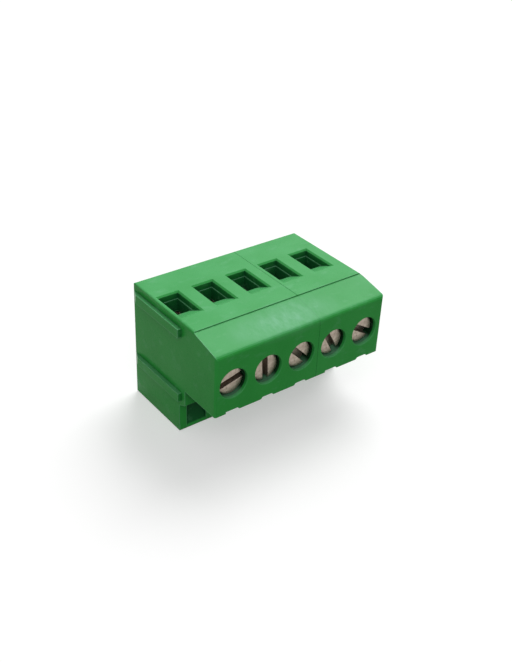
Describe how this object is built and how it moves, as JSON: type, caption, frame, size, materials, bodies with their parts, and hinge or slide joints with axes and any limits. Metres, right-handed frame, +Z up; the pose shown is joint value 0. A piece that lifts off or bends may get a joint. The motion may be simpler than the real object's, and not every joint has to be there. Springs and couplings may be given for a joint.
{
  "type": "pluggable screw terminal block",
  "caption": "Pluggable screw terminal in green plastic: wire funnels on top, slotted clamping screws in the front, rising cage clamps and header-pin sockets underneath.",
  "frame": {"origin": "on the base face, on the axis of the middle pole's header pin", "axes": "+X along the row of poles from the ribbed end to the grooved end, +Y from the screw face to the back face, +Z up towards the wire entries, against the direction in which the block is plugged in"},
  "size_m": [0.0262, 0.0182, 0.0166],
  "materials": {
    "green_polyamide": "satin",
    "screw_steel": "zinc plated",
    "cage_metal": "nickel plated",
    "contact_metal": "tin plated",
    "spring_steel": "bright rolled strip"
  },
  "bodies": {
    "housing": {"housing_3_pole": "green_polyamide", "housing_2_pole": "green_polyamide", "current_bar_1": "contact_metal", "current_bar_2": "contact_metal", "current_bar_3": "contact_metal", "current_bar_4": "contact_metal", "current_bar_5": "contact_metal", "socket_spring_1": "spring_steel", "socket_spring_2": "spring_steel", "socket_spring_3": "spring_steel", "socket_spring_4": "spring_steel", "socket_spring_5": "spring_steel"},
    "screw_1": {"screw_1": "screw_steel"},
    "cage_1": {"cage_1": "cage_metal"},
    "screw_2": {"screw_2": "screw_steel"},
    "cage_2": {"cage_2": "cage_metal"},
    "screw_3": {"screw_3": "screw_steel"},
    "cage_3": {"cage_3": "cage_metal"},
    "screw_4": {"screw_4": "screw_steel"},
    "cage_4": {"cage_4": "cage_metal"},
    "screw_5": {"screw_5": "screw_steel"},
    "cage_5": {"cage_5": "cage_metal"}
  },
  "joints": [
    {"name": "cage_travel_1", "type": "slide", "parent": "housing", "child": "cage_1", "axis": [0, -1, 0], "range_m": [0, 0.003]},
    {"name": "screw_turn_1", "type": "hinge", "parent": "housing", "child": "screw_1", "pos_m": [-0.01016, -0.00558, 0.0111], "axis": [0, 1, 0], "range_deg": [0, 2160]},
    {"name": "cage_travel_2", "type": "slide", "parent": "housing", "child": "cage_2", "axis": [0, -1, 0], "range_m": [0, 0.003]},
    {"name": "screw_turn_2", "type": "hinge", "parent": "housing", "child": "screw_2", "pos_m": [-0.00508, -0.00558, 0.0111], "axis": [0, 1, 0], "range_deg": [0, 2160]},
    {"name": "cage_travel_3", "type": "slide", "parent": "housing", "child": "cage_3", "axis": [0, -1, 0], "range_m": [0, 0.003]},
    {"name": "screw_turn_3", "type": "hinge", "parent": "housing", "child": "screw_3", "pos_m": [0, -0.00558, 0.0111], "axis": [0, 1, 0], "range_deg": [0, 2160]},
    {"name": "cage_travel_4", "type": "slide", "parent": "housing", "child": "cage_4", "axis": [0, -1, 0], "range_m": [0, 0.003]},
    {"name": "screw_turn_4", "type": "hinge", "parent": "housing", "child": "screw_4", "pos_m": [0.00508, -0.00558, 0.0111], "axis": [0, 1, 0], "range_deg": [0, 2160]},
    {"name": "cage_travel_5", "type": "slide", "parent": "housing", "child": "cage_5", "axis": [0, -1, 0], "range_m": [0, 0.003]},
    {"name": "screw_turn_5", "type": "hinge", "parent": "housing", "child": "screw_5", "pos_m": [0.01016, -0.00558, 0.0111], "axis": [0, 1, 0], "range_deg": [0, 2160]}
  ],
  "couplings": [
    {"joint": "screw_turn_1", "follows": "cage_travel_1", "rad_per_m": 12566},
    {"joint": "screw_turn_2", "follows": "cage_travel_2", "rad_per_m": 12566},
    {"joint": "screw_turn_3", "follows": "cage_travel_3", "rad_per_m": 12566},
    {"joint": "screw_turn_4", "follows": "cage_travel_4", "rad_per_m": 12566},
    {"joint": "screw_turn_5", "follows": "cage_travel_5", "rad_per_m": 12566}
  ]
}
